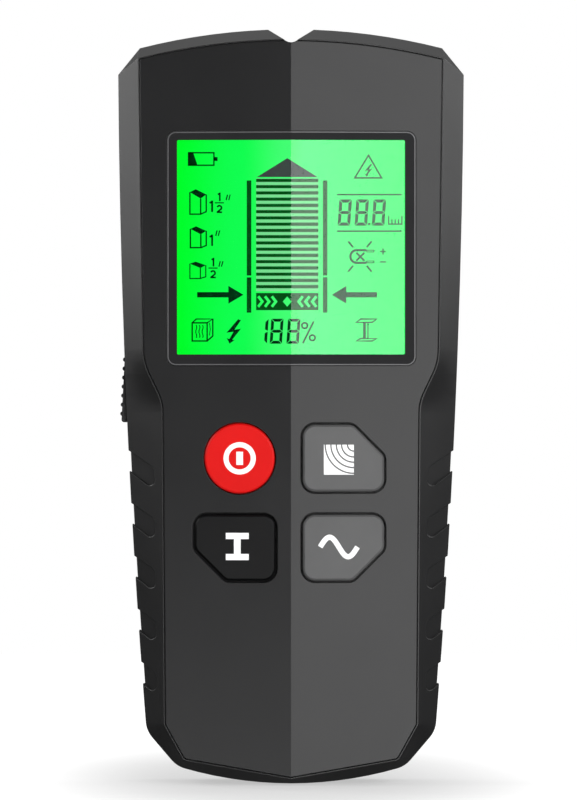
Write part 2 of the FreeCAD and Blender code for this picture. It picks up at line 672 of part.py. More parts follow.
# ---------------------------------------------------------------- main board and its parts
board = new_body("main_board")
add(board, outline([("-board_half", "board_waist"), ("-board_half", "board_top"),
                    ("board_half", "board_top"), ("board_half", "14"), ("board_narrow", "8"),
                    ("board_narrow", "board_bottom"), ("-board_narrow", "board_bottom"),
                    ("-board_narrow", "board_waist")]), "board_low", "board_high")
cut(board, discs(BOSSES, "1.2"), "10", "20")
cut(board, [disc("15", "-30", "0.7"), disc("9", "-34", "0.7")], "10", "15.6")
chip = new_body("microcontroller")
add(chip, box("-7", "7", "33", "47"), "13.4", "board_low - 0.12")
add(chip, [box("-6.2 + 1.6 * %d" % i, "-5.6 + 1.6 * %d" % i, y0, y1) for i in range(8)
           for y0, y1 in (("31.6", "33.2"), ("46.8", "48.4"))], "14.3", "board_low - 0.02")
small = new_body("board_components")
spots = [(-18, 30), (-18, 36), (-18, 42), (18, 30), (18, 36), (18, 42), (-12, 54), (-4, 54),
         (4, 54), (12, 54), (-14, 4), (14, 4), (20, -6), (20, -14)]
add(small, [box("%g" % (x - 1.6), "%g" % (x + 1.6), "%g" % (y - 0.8), "%g" % (y + 0.8))
            for x, y in spots], "13.6", "board_low - 0.02")
add(small, discs([("0", "14"), ("16", "14")], "2.5"), "9.4", "board_low - 0.02")
switches = new_body("key_switch_bodies")
add(switches, [plate(x, y, "2 * switch_half", "2 * switch_half", "0.4") for x, y in KEY_CENTRES],
    "board_high + 0.02", "switch_high")
cut(switches, discs(KEY_CENTRES, "stem_r + stem_gap"), "17.9", "25")
covers = new_body("key_switch_covers")
add(covers, [plate(x, y, "2 * switch_half - 0.2", "2 * switch_half - 0.2", "0.4")
             for x, y in KEY_CENTRES], "switch_high + 0.01", "cover_high")
cut(covers, discs(KEY_CENTRES, "stem_r + stem_gap"), "10", "25")
side_switch = new_body("side_switch_body")
add(side_switch, box("-29", "-25", "-2.8", "2.6"), "11", "board_low - 0.02")
cut(side_switch, box("-32", "-27", "-1.4", "1.3"), "11.6", "14.4")
buzzer = new_body("buzzer")
add(buzzer, disc("-10", "-24", "6"), "9.3", "board_low - 0.02")
cut(buzzer, disc("-10", "-24", "1"), "8", "11")

# ---------------------------------------------------------------- sensor
sensor = new_body("sensor_board")
add(sensor, plate("0", "46", "55", "56", "2"), "3.2", "4.4")
pads = new_body("sensor_pads")
add(pads, [plate("-19", "46", "16", "48", "1"), plate("0", "46", "16", "48", "1"),
           plate("19", "46", "16", "48", "1")], "2.6", "3.18")
bobbin = new_body("coil_bobbin")
ring = disc("0", "46", "15")
add(bobbin, [disc("0", "46", "20"), ring], "4.42", "5.2")
add(bobbin, [disc("0", "46", "16.2"), ring], "4.42", "9")
add(bobbin, [disc("0", "46", "20"), ring], "8.2", "9")
winding = new_body("coil_winding")
add(winding, [disc("0", "46", "19.2"), disc("0", "46", "16.25")], "5.25", "8.15")
header = new_body("board_header")
add(header, box("-10", "10", "22.4", "24.9"), "4.42", "board_low - 0.02")

# ---------------------------------------------------------------- battery, snap and leads
can = new_body("battery_can")
add(can, plate("cell_x", "cell_y", "2 * cell_half", "cell_depth", "2.5"), "cell_low",
    "cell_high")
cut(can, box("cell_x - cell_half + 0.5", "cell_x + cell_half + 1", "cell_y - cell_depth / 2 + 0.5",
             "cell_y + cell_depth / 2 - 0.5"), "cell_low + 0.5", "cell_high - 0.5")
cells_body = new_body("battery_cells")
for i in range(6):
    add(cells_body, box("cell_x - cell_half + 1 + 6.9 * %d" % i,
                        "cell_x - cell_half + 7.7 + 6.9 * %d" % i,
                        "cell_y - 11.6", "cell_y + 11.6"), "cell_low + 0.7", "cell_high - 0.7")
top_plate = new_body("battery_top_plate")
add(top_plate, box("cell_x + cell_half - 1.6", "cell_x + cell_half + 0.1",
                   "cell_y - 12.5", "cell_y + 12.5"), "cell_low + 0.6", "cell_high - 0.6")
posts = new_body("battery_terminals")
LEVEL = "(cell_low + cell_high) / 2"
add(posts, [disc("cell_y + 6.35", LEVEL, "2.8"), disc("cell_y - 6.35", LEVEL, "4")],
    "terminal_x + 0.02", "terminal_x + 2.6", "YZ_Plane")
cut(posts, disc("cell_y - 6.35", LEVEL, "3"), "terminal_x + 0.8", "terminal_x + 4",
    "YZ_Plane")
snap = new_body("battery_snap")
add(snap, outline([("cell_y - 12", "5"), ("cell_y - 12", "18.7"), ("cell_y + 12", "18.7"),
                   ("cell_y + 12", "5")], None, {i: "2" for i in range(4)}),
    "terminal_x + 3.2", "terminal_x + 5.6", "YZ_Plane")
contacts = new_body("snap_contacts")
add(contacts, [disc("cell_y + 6.35", LEVEL, "3.6"), disc("cell_y - 6.35", LEVEL, "2.6")],
    "terminal_x + 2.65", "terminal_x + 3.18", "YZ_Plane")
foam = new_body("battery_foam")
add(foam, plate("-2", "cell_y", "36", "20", "2"), "cell_high + 0.05", "23.3")


def tube(name, points, radius):
    """Round lead along straight runs joined by tangent arcs."""
    spots = [V(*(number(c) for c in p)) for p in points]
    edges = []
    here = spots[0]
    for before, corner, after in zip(spots, spots[1:], spots[2:]):
        back = (before - corner).normalize()
        ahead = (after - corner).normalize()
        half_turn = (math.pi - back.getAngle(ahead)) / 2
        reach = 0.45 * min((before - corner).Length, (after - corner).Length)
        bend = reach / math.tan(half_turn)
        start, stop = corner + back * reach, corner + ahead * reach
        inner = (back + ahead).normalize()
        middle = corner + inner * (bend / math.cos(half_turn) - bend)
        edges.append(Part.LineSegment(here, start).toShape())
        edges.append(Part.Arc(start, middle, stop).toShape())
        here = stop
    edges.append(Part.LineSegment(here, spots[-1]).toShape())
    length = sum(e.Length for e in edges)
    size = number(radius)
    circle = Part.Wire(Part.Circle(spots[0], spots[1] - spots[0], size).toShape())
    solid = Part.Wire(edges).makePipeShell([circle], True, False)
    expected = math.pi * size ** 2 * length
    if not solid.isValid() or abs(solid.Volume / expected - 1) > 0.02:
        raise RuntimeError("%s is not a true tube" % name)
    result = doc.addObject("Part::Feature", name)
    result.Label = name
    result.Shape = solid
    result.Placement = UPRIGHT
    made.append(result)
    return result


tube("red_lead", [("23.4", "-45.9", "12"), ("23.4", "-33", "9.5"), ("15", "-30", "5.8"),
                  ("15", "-30", "15.5")], "lead_r")
tube("black_lead", [("23.2", "-45.9", "8"), ("22.9", "-37.5", "6.2"), ("9", "-34", "5"),
                    ("9", "-34", "15.5")], "lead_r")

# ---------------------------------------------------------------- screws
screws = new_body("housing_screws")
add(screws, discs(COLUMNS, "screw_head_r"), "1.4", "2.95")
add(screws, discs(COLUMNS, "screw_r"), "2.9", "16")
for x, y in COLUMNS:
    cut(screws, outline([("%s - 0.3" % x, "%s - 1.5" % y), ("%s - 0.3" % x, "%s + 1.5" % y),
                         ("%s + 0.3" % x, "%s + 1.5" % y), ("%s + 0.3" % x, "%s - 1.5" % y)]),
        "1", "2.2")
    cut(screws, outline([("%s - 1.5" % x, "%s - 0.3" % y), ("%s - 1.5" % x, "%s + 0.3" % y),
                         ("%s + 1.5" % x, "%s + 0.3" % y), ("%s + 1.5" % x, "%s - 0.3" % y)]),
        "1", "2.2")
board_screws = new_body("board_screws")
add(board_screws, discs(BOSSES, "1.9"), "13.4", "board_low - 0.02")
add(board_screws, discs(BOSSES, "0.85"), "14", "22")

# ---------------------------------------------------------------- check and write
doc.recompute()
for thing in doc.Objects:
    for word in ("Invalid", "Error"):
        if word in thing.State:
            raise RuntimeError("%s (%s) is %s" % (thing.Label, thing.Name, word))
os.makedirs("parts", exist_ok=True)
for body in made:
    shape = body.Shape
    if shape.isNull() or not shape.isValid() or shape.Volume <= 0:
        raise RuntimeError("%s has no valid shape" % body.Label)
    shape.exportStep("parts/%s.step" % body.Label)
    span = shape.BoundBox
    print("%-20s %2d solids %10.1f mm3  X %6.1f %6.1f  Y %6.1f %6.1f  Z %6.1f %6.1f" % (
        body.Label, len(shape.Solids), shape.Volume, span.XMin, span.XMax, span.YMin, span.YMax,
        span.ZMin, span.ZMax))
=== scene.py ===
import json
import math

import bmesh
import bpy
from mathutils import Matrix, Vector


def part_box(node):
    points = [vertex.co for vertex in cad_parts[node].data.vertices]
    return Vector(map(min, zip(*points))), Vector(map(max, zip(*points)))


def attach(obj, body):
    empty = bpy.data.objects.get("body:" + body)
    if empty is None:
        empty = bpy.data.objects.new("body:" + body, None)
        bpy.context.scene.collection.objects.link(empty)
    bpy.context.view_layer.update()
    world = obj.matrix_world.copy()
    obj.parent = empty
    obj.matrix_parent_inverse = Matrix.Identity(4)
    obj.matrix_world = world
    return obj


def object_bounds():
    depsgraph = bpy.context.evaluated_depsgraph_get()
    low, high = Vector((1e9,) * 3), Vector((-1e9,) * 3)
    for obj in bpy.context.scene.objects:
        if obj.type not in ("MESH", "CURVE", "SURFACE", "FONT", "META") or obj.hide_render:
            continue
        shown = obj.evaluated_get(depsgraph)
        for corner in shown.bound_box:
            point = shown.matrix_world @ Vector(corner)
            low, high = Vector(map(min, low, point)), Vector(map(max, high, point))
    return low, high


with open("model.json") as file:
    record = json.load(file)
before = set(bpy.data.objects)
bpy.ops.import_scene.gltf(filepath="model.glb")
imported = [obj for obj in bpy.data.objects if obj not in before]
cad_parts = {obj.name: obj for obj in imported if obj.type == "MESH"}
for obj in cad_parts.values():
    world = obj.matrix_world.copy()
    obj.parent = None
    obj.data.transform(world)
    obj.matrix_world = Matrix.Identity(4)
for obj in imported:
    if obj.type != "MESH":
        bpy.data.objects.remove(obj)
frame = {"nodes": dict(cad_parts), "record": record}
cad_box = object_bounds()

# The tool stands on its lower end with its face towards -Y. Sizes below are in millimetres and
# turn into metres where a mesh, a light or the camera is made.
MM = 0.001
ROOF_TAN = math.tan(math.radians(4.5))
KEY_RISE = 0.3       # keys stand this far above their facet
BEZEL_RISE = 0.1     # the bezel too
PRINT_LIFT = 0.02    # outer side of a print above what it lies on


def box_mm(node):
    """Lowest and highest corner of a CAD node, in millimetres."""
    low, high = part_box(node)
    return Vector(low) / MM, Vector(high) / MM


RIDGE = -box_mm("front_housing")[0].y + 0.4
BEZEL_LOW, BEZEL_HIGH = box_mm("lens_bezel")
BEZEL_X = (BEZEL_LOW.x + BEZEL_HIGH.x) / 2
BEZEL_Z = (BEZEL_LOW.z + BEZEL_HIGH.z) / 2
LIT_X, LIT_Z = BEZEL_X - 0.1, BEZEL_Z + 0.26
LIT_WIDTH, LIT_HEIGHT = 50.8, 47.8
LIT_Y = box_mm("lcd_polarizers")[0].y - 0.05
BACKING_LIFT, SEGMENT_LIFT, MARK_LIFT = 0.05, 0.10, 0.16


# ---------------------------------------------------------------- materials

def new_material(name):
    """Material with an empty node tree; returns it with a function that adds nodes."""
    material = bpy.data.materials.new(name)
    material.use_nodes = True
    tree = material.node_tree
    tree.nodes.clear()

    def node(kind, inputs=None, **settings):
        made = tree.nodes.new(kind)
        for key, value in settings.items():
            setattr(made, key, value)
        for key, value in (inputs or {}).items():
            if isinstance(value, bpy.types.NodeSocket):
                tree.links.new(value, made.inputs[key])
            else:
                made.inputs[key].default_value = value
        return made

    return material, node


def rgba(colour, gain=1.0):
    return tuple(min(c * gain, 1.0) for c in colour) + (1.0,)


def varied(node, place, colour, scale, spread):
    """Colour that wanders a little round its mean."""
    noise = node("ShaderNodeTexNoise", {"Vector": place, "Scale": scale, "Detail": 4.0})
    ramp = node("ShaderNodeValToRGB", {"Fac": noise.outputs["Fac"]})
    ramp.color_ramp.elements[0].position = 0.3
    ramp.color_ramp.elements[1].position = 0.7
    ramp.color_ramp.elements[0].color = rgba(colour, 1 - spread)
    ramp.color_ramp.elements[1].color = rgba(colour, 1 + spread)
    return ramp.outputs["Color"]


def ranged(node, value, low, high):
    """Map a 0..1 value to a range."""
    made = node("ShaderNodeMapRange", {"Value": value, "To Min": low, "To Max": high})
    return made.outputs["Result"]


def surface(name, colour, rough, grain=0.0, grain_mm=0.3, edge_mm=0.0, spread=0.08,
            smudge=0.04, **shader):
    """Solid surface: colour variation, fine grain bump, uneven roughness, softened edges.

    grain is the depth of the texture in mm, grain_mm its size, edge_mm the radius that edges
    are softened to, and shader holds values for the shader's own sockets.
    """
    material, node = new_material(name)
    place = node("ShaderNodeTexCoord").outputs["Object"]
    base = varied(node, place, colour, 120.0, spread)
    patch = node("ShaderNodeTexNoise", {"Vector": place, "Scale": 55.0, "Detail": 5.0})
    roughness = ranged(node, patch.outputs["Fac"], rough - smudge, rough + smudge)
    inputs = {"Base Color": base, "Roughness": roughness}
    normal = None
    if edge_mm:
        normal = node("ShaderNodeBevel", {"Radius": edge_mm * MM}, samples=4).outputs["Normal"]
    if grain:
        fine = node("ShaderNodeTexNoise", {"Vector": place, "Scale": 1.0 / (grain_mm * MM),
                                           "Detail": 3.0})
        bump_in = {"Height": fine.outputs["Fac"], "Distance": grain * MM, "Strength": 1.0}
        if normal:
            bump_in["Normal"] = normal
        normal = node("ShaderNodeBump", bump_in).outputs["Normal"]
    if normal:
        inputs["Normal"] = normal
    inputs.update(shader)
    shade = node("ShaderNodeBsdfPrincipled", inputs)
    node("ShaderNodeOutputMaterial", {"Surface": shade.outputs["BSDF"]})
    return material


def wound_wire():
    """Fine copper turns round the coil."""
    material, node = new_material("wound_wire")
    place = node("ShaderNodeTexCoord").outputs["Object"]
    turns = node("ShaderNodeTexWave", {"Vector": place, "Scale": 900.0, "Distortion": 0.4},
                 wave_type="BANDS", bands_direction="Y")
    base = varied(node, place, (0.55, 0.19, 0.07), 500.0, 0.2)
    bump = node("ShaderNodeBump", {"Height": turns.outputs["Fac"], "Distance": 0.1 * MM})
    shade = node("ShaderNodeBsdfPrincipled", {
        "Base Color": base, "Metallic": 1.0, "Roughness": 0.35,
        "Normal": bump.outputs["Normal"]})
    node("ShaderNodeOutputMaterial", {"Surface": shade.outputs["BSDF"]})
    return material


def board_material():
    """Green solder mask with faint tracks under it."""
    material, node = new_material("board_mask")
    place = node("ShaderNodeTexCoord").outputs["Object"]
    tracks = node("ShaderNodeTexBrick", {
        "Vector": place, "Scale": 260.0, "Mortar Size": 0.03, "Color1": rgba((0.010, 0.11, 0.035)),
        "Color2": rgba((0.013, 0.13, 0.04)), "Mortar": rgba((0.03, 0.2, 0.07))})
    shade = node("ShaderNodeBsdfPrincipled", {
        "Base Color": tracks.outputs["Color"], "Roughness": 0.35, "Coat Weight": 0.3})
    node("ShaderNodeOutputMaterial", {"Surface": shade.outputs["BSDF"]})
    return material


def clear_material(name, tint, rough, ior=1.49):
    """Clear moulded plastic or glass."""
    material, node = new_material(name)
    place = node("ShaderNodeTexCoord").outputs["Object"]
    patch = node("ShaderNodeTexNoise", {"Vector": place, "Scale": 40.0, "Detail": 4.0})
    roughness = ranged(node, patch.outputs["Fac"], rough * 0.7, rough * 1.3)
    shade = node("ShaderNodeBsdfPrincipled", {
        "Base Color": varied(node, place, tint, 30.0, 0.01), "Roughness": roughness,
        "Transmission Weight": 1.0, "IOR": ior})
    node("ShaderNodeOutputMaterial", {"Surface": shade.outputs["BSDF"]})
    return material


def lit_material(name, stops, strength=1.0):
    """Film that gives off light, its colour running across the tool; stops holds (place in mm,
    colour). Where the stops differ, the change across is a painted reflection.
    """
    material, node = new_material(name)
    place = node("ShaderNodeTexCoord").outputs["Object"]
    across = node("ShaderNodeSeparateXYZ", {"Vector": place}).outputs["X"]
    share = node("ShaderNodeMapRange", {"Value": across, "From Min": -26 * MM, "From Max": 26 * MM})
    ramp = node("ShaderNodeValToRGB", {"Fac": share.outputs["Result"]})
    ramp.color_ramp.interpolation = "EASE"
    while len(ramp.color_ramp.elements) < len(stops):
        ramp.color_ramp.elements.new(0.5)
    for element, (x, colour) in zip(ramp.color_ramp.elements, stops):
        element.position = (x + 26) / 52
        element.color = rgba(colour)
    shade = node("ShaderNodeBsdfPrincipled", {
        "Base Color": rgba((0.0, 0.03, 0.006)), "Roughness": 0.6, "Specular IOR Level": 0.0,
        "Emission Color": ramp.outputs["Color"], "Emission Strength": strength})
    node("ShaderNodeOutputMaterial", {"Surface": shade.outputs["BSDF"]})
    return material


LOW_GLOSS = {"Specular IOR Level": 0.25}
HOUSING = surface("housing_plastic", (0.010, 0.010, 0.0104), 0.40, grain=0.006, grain_mm=0.25,
                  edge_mm=0.22, spread=0.10, smudge=0.05)
FACE = surface("face_plastic", (0.0075, 0.0075, 0.008), 0.33, grain=0.002, grain_mm=0.22,
               edge_mm=0.2, spread=0.06, smudge=0.03, **{"Specular IOR Level": 0.33})
BEZEL = surface("bezel_print", (0.016, 0.016, 0.017), 0.6, grain=0.003, edge_mm=0.1,
                **{"Specular IOR Level": 0.08})
# Light grey for the thin line round the bezel: a painted highlight standing in for its edge catching
# the light.
PAINTED_RIM_HIGHLIGHT = surface("bezel_painted_highlight", (0.075, 0.075, 0.078), 0.4, grain=0.002, edge_mm=0.08)
KEY_RED = surface("red_key_plastic", (0.66, 0.0015, 0.001), 0.36, grain=0.002, edge_mm=0.2,
                  spread=0.04, **LOW_GLOSS)
KEY_GREY = surface("grey_key_plastic", (0.088, 0.088, 0.089), 0.40, grain=0.003, edge_mm=0.2,
                   spread=0.05, **LOW_GLOSS)
KEY_DARK = surface("dark_key_plastic", (0.003, 0.003, 0.0033), 0.38, grain=0.003, edge_mm=0.2,
                   spread=0.06, **{"Specular IOR Level": 0.18})
RUBBER = surface("side_rubber", (0.010, 0.010, 0.0105), 0.62, grain=0.01, grain_mm=0.2,
                 edge_mm=0.15)
LENS = clear_material("clear_lens", (0.97, 0.99, 0.98), 0.004, 1.28)
GLASS = clear_material("display_glass", (0.6, 0.95, 0.7), 0.03)
FILM = surface("display_film", (0.02, 0.12, 0.04), 0.3)
WHITE_PRINT = surface("white_print", (0.93, 0.93, 0.93), 0.55, grain=0.002, spread=0.02)
STEEL = surface("screw_steel", (0.56, 0.56, 0.57), 0.32, grain=0.002, edge_mm=0.1, Metallic=1.0)
CHROME = surface("terminal_plating", (0.75, 0.75, 0.76), 0.16, Metallic=1.0)
# Backlit display green; the paler, bluer tone from the ridge rightwards is a painted reflection of
# the key softbox in the lens's right facet.
BACKLIT_AND_REFLECTION = lit_material("display_lit", ((-26, (0.0, 1.0, 0.02)), (-11, (0.006, 1.0, 0.08)),
                                   (0, (0.06, 1.0, 0.18)), (3, (0.08, 1.0, 0.24)),
                                   (26, (0.05, 1.0, 0.19))))
# Paler gauge backing; its slight rise in tone to the right is painted reflection.
PALE_LIT_AND_REFLECTION = lit_material("gauge_backing", ((-26, (0.17, 0.74, 0.26)), (26, (0.23, 0.76, 0.33))))
GREY_LIT = lit_material("gauge_point", ((-26, (0.05, 0.038, 0.055)), (26, (0.05, 0.038, 0.055))))
# Dark symbols: their glow, nearly none left of the ridge and grey-green right of it, is painted
# reflection.
SYMBOL_AND_REFLECTION = lit_material("display_symbol", ((-26, (0.0, 0.001, 0.0)), (-2, (0.001, 0.012, 0.004)),
                                         (26, (0.01, 0.08, 0.03))))
# Dark gauge bars: a faint green glow, raised right of the ridge by painted reflection.
BAR_AND_REFLECTION = lit_material("display_bar", ((-26, (0.0, 0.03, 0.001)), (-2, (0.002, 0.05, 0.004)),
                                   (2, (0.003, 0.09, 0.015)), (26, (0.003, 0.1, 0.02))))

BY_SLOT = {
    "housing_black": HOUSING, "door_black": HOUSING, "face_black": FACE, "clear_lens": LENS,
    "bezel_black": BEZEL,
    "key_red": KEY_RED, "key_grey": KEY_GREY, "key_dark": KEY_DARK, "side_black": RUBBER,
    "lcd_glass": GLASS, "lcd_film": FILM,
    "light_guide": lit_material("light_guide", ((-26, (0.1, 0.9, 0.2)), (26, (0.1, 0.9, 0.2))), 0.4),
    "led_body": lit_material("lamp_body", ((-26, (0.3, 1.0, 0.4)), (26, (0.3, 1.0, 0.4))), 0.6),
    "holder_white": surface("holder_plastic", (0.55, 0.55, 0.54), 0.5, grain=0.003),
    "zebra_rubber": surface("zebra_rubber", (0.3, 0.2, 0.24), 0.7, grain=0.004),
    "board_green": board_material(),
    "chip_black": surface("chip_plastic", (0.02, 0.02, 0.02), 0.5, grain=0.004, grain_mm=0.1),
    "switch_black": surface("switch_plastic", (0.03, 0.03, 0.03), 0.45, grain=0.003),
    "switch_cover": STEEL, "screw_steel": STEEL, "terminal": CHROME,
    "plunger": surface("plunger_plastic", (0.5, 0.46, 0.34), 0.45, grain=0.003),
    "copper": wound_wire(),
    "bobbin": surface("bobbin_plastic", (0.5, 0.46, 0.36), 0.5, grain=0.003),
    "adhesive": surface("adhesive_film", (0.02, 0.02, 0.02), 0.8, grain=0.004),
    "can_metal": surface("can_paint", (0.05, 0.05, 0.055), 0.3, grain=0.002, edge_mm=0.3),
    "cell": surface("cell_sleeve", (0.12, 0.12, 0.13), 0.4),
    "snap_black": surface("snap_vinyl", (0.015, 0.015, 0.015), 0.55, grain=0.004),
    "foam": surface("foam", (0.03, 0.03, 0.03), 0.95, grain=0.08, grain_mm=0.6),
    "red_wire": surface("red_insulation", (0.6, 0.02, 0.015), 0.4, grain=0.002),
    "black_wire": surface("black_insulation", (0.012, 0.012, 0.012), 0.4, grain=0.002),
}


def dress_cad_nodes():
    """Give every CAD node the material of its slot."""
    slots = {row["node"]: row["material_slot"] for row in frame["record"]["subparts"]}
    for name, thing in frame["nodes"].items():
        thing.data.materials.clear()
        thing.data.materials.append(BY_SLOT[slots[name]])


# ---------------------------------------------------------------- flat shapes
# A shape is a list of polygons, and a polygon is a list of (x, z) points in millimetres.

def ring_points(x, z, radius, start=0.0, stop=360.0, steps=48):
    """Points of an arc, in degrees anticlockwise."""
    return [(x + radius * math.cos(math.radians(start + (stop - start) * i / steps)),
             z + radius * math.sin(math.radians(start + (stop - start) * i / steps)))
            for i in range(steps + 1)]


def bar(x0, z0, x1, z1):
    """Upright rectangle."""
    return [[(x0, z0), (x1, z0), (x1, z1), (x0, z1)]]


def moved(shape, dx, dz):
    return [[(x + dx, z + dz) for x, z in polygon] for polygon in shape]


def stroke(points, width, closed=False):
    """Line of even width through points, with mitred corners, as one quad for each run."""
    count = len(points)
    runs = count if closed else count - 1
    sides = []
    for i in range(count):
        before = points[i - 1] if i or closed else None
        after = points[(i + 1) % count] if i < count - 1 or closed else None
        here = Vector(points[i])
        normals = []
        for a, b in ((before, here), (here, after)):
            if a is not None and b is not None:
                run = (Vector(b) - Vector(a)).normalized()
                normals.append(Vector((-run.y, run.x)))
        mean = sum(normals, Vector((0, 0))).normalized()
        reach = min(width / 2 / max(mean.dot(normals[0]), 0.3), width)
        sides.append((here + mean * reach, here - mean * reach))
    made = []
    for i in range(runs):
        a, b = sides[i], sides[(i + 1) % count]
        made.append([tuple(a[0]), tuple(a[1]), tuple(b[1]), tuple(b[0])])
    return made


def band(x, z, inner, outer, start=0.0, stop=360.0, steps=48):
    """Part of a ring, as quads."""
    near = ring_points(x, z, inner, start, stop, steps)
    far = ring_points(x, z, outer, start, stop, steps)
    return [[near[i], far[i], far[i + 1], near[i + 1]] for i in range(steps)]


def flat_piece(name, shape, depth_at, body, material, thick=0.04):
    """Thin raised piece: each polygon is a low prism standing on the surface below it.

    depth_at gives the distance of the piece's outer side in front of the back plane.
    """
    mesh = bpy.data.meshes.new(name)
    build = bmesh.new()
    for polygon in shape:
        area = sum(a[0] * b[1] - b[0] * a[1] for a, b in zip(polygon, polygon[1:] + polygon[:1]))
        points = polygon if area > 0 else polygon[::-1]
        front = [build.verts.new((x * MM, -depth_at(x) * MM, z * MM)) for x, z in points]
        back = [build.verts.new((x * MM, (thick - depth_at(x)) * MM, z * MM))
                for x, z in points]
        build.faces.new(front)
        build.faces.new(back[::-1])
        for i in range(len(points)):
            j = (i + 1) % len(points)
            build.faces.new((front[j], front[i], back[i], back[j]))
    build.to_mesh(mesh)
    build.free()
    mesh.materials.append(material)
    piece = bpy.data.objects.new(name, mesh)
    bpy.context.collection.objects.link(piece)
    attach(piece, body)
    return piece


def at_level(lift):
    """Flat at one level: lift is its distance in front of the lit film."""
    return lambda x: lift - LIT_Y


def on_facets(rise):
    """Follows the two facets, at a distance in front of them."""
    return lambda x: RIDGE - abs(x) * ROOF_TAN + rise


# ---------------------------------------------------------------- display

def digit(x, z, width, height, thick, lean, parts="abcdefg"):
    """Seven-segment figure with mitred segments, about its outer lower left corner."""
    w, h, t, m, gap = width, height, thick, height / 2, thick * 0.14
    left_high = [(0, m + gap), (0, h - gap), (t, h - t - gap), (t, m + t / 2 + gap)]
    left_low = [(0, m - gap), (0, gap), (t, t + gap), (t, m - t / 2 - gap)]
    segments = {
        "a": [(gap, h), (w - gap, h), (w - t - gap, h - t), (t + gap, h - t)],
        "b": [(w - px, pz) for px, pz in left_high],
        "c": [(w - px, pz) for px, pz in left_low],
        "d": [(gap, 0), (w - gap, 0), (w - t - gap, t), (t + gap, t)],
        "e": left_low,
        "f": left_high,
        "g": [(gap, m), (t + gap, m + t / 2), (w - t - gap, m + t / 2), (w - gap, m),
              (w - t - gap, m - t / 2), (t + gap, m - t / 2)],
    }
    return [[(x + px + pz * lean, z + pz) for px, pz in segments[part]] for part in parts]


def small_one(x, z, height, width):
    """Figure one."""
    return (stroke([(x - height * 0.22, z + height * 0.78), (x, z + height - width / 2)], width)
            + bar(x - width / 2, z, x + width / 2, z + height))


def small_two(x, z, height, width):
    """Figure two."""
    r = height * 0.26
    arc = ring_points(x, z + height - r - width / 2, r, 160, -35, 10)
    return (stroke(arc + [(x - r, z + width / 2)], width)
            + bar(x - r - width / 3, z, x + r + width / 3, z + width))


def inch_mark(x, z, height, width):
    """Two short leaning strokes."""
    return [p for i in (0, 1) for p in
            stroke([(x + i * width * 2.2, z), (x + i * width * 2.2 + height * 0.25, z + height)],
                   width)]


def half(x, z, width):
    """One over two."""
    return (small_one(x + 0.1, z + 0.35, 1.9, width) + bar(x - 1.0, z - 0.12, x + 1.0, z + 0.12)
            + small_two(x, z - 2.25, 1.8, width))


def timber(x0, z0, x1, z1, face, thin):
    """Cut timber with a dark end, seen from above."""
    top = z1
    w = x1 - x0
    h = z1 - z0
    lip = min(h * 0.34, 2.2)
    a, b = (x0, top - lip * 0.35), (x0 + w * 0.36, top)
    c, d = (x1, top - lip * 0.62), (x0 + w * 0.66, top - lip * 1.1)
    made = [[a, d, c, b]] if face else stroke([a, d, c, b], thin, True)
    made += stroke([a, (x0, z0), (x0 + w * 0.66, z0), (x1, z0 + lip * 0.3), c], thin)
    made += stroke([d, (d[0], z0)], thin)
    return made


def bolt_shape(x, z, size):
    """Lightning bolt with an arrow point, about its centre."""
    points = [(0.3, 1.0), (-0.52, -0.1), (-0.02, -0.02), (-0.32, -0.62), (-0.5, -0.55),
              (-0.3, -1.0), (0.05, -0.7), (-0.12, -0.68), (0.5, 0.22), (0.04, 0.14), (0.5, 0.92)]
    return [[(x + px * size * 1.15, z + pz * size) for px, pz in points]]


def arrow(tail, neck, tip, z, thick, head):
    """Arrow that lies level, either way round."""
    return [[(tail, z - thick / 2), (neck, z - thick / 2), (neck, z - head / 2), (tip, z),
             (neck, z + head / 2), (neck, z + thick / 2), (tail, z + thick / 2)]]


def gauge():
    """Bars, rails and the box under them."""
    made = []
    for i in range(18):
        z = 14.85 - 1.38 * i
        made += bar(-7.68, z - 0.35, 6.03, z + 0.35)
    for x in (-9.25, 7.52):
        made += bar(x - 0.5, -6.15, x + 0.5, 14.83)
        made += bar(x - 0.5, -14.34, x + 0.5, -6.55)
    return made + bar(-7.68, -13.79, 6.03, -10.01)


def box_marks():
    """Lit arrowheads that point to a lit diamond in the middle of the dark box."""
    z, tall = -11.9, 1.15
    made = [[(-1.8, z), (-0.82, z - tall), (0.16, z), (-0.82, z + tall)]]
    for i in range(3):
        for side in (-1, 1):
            x = -0.82 + side * (2.5 + 1.5 * i)
            made += stroke([(x + side * 0.9, z - tall), (x, z), (x + side * 0.9, z + tall)], 0.6)
    return made


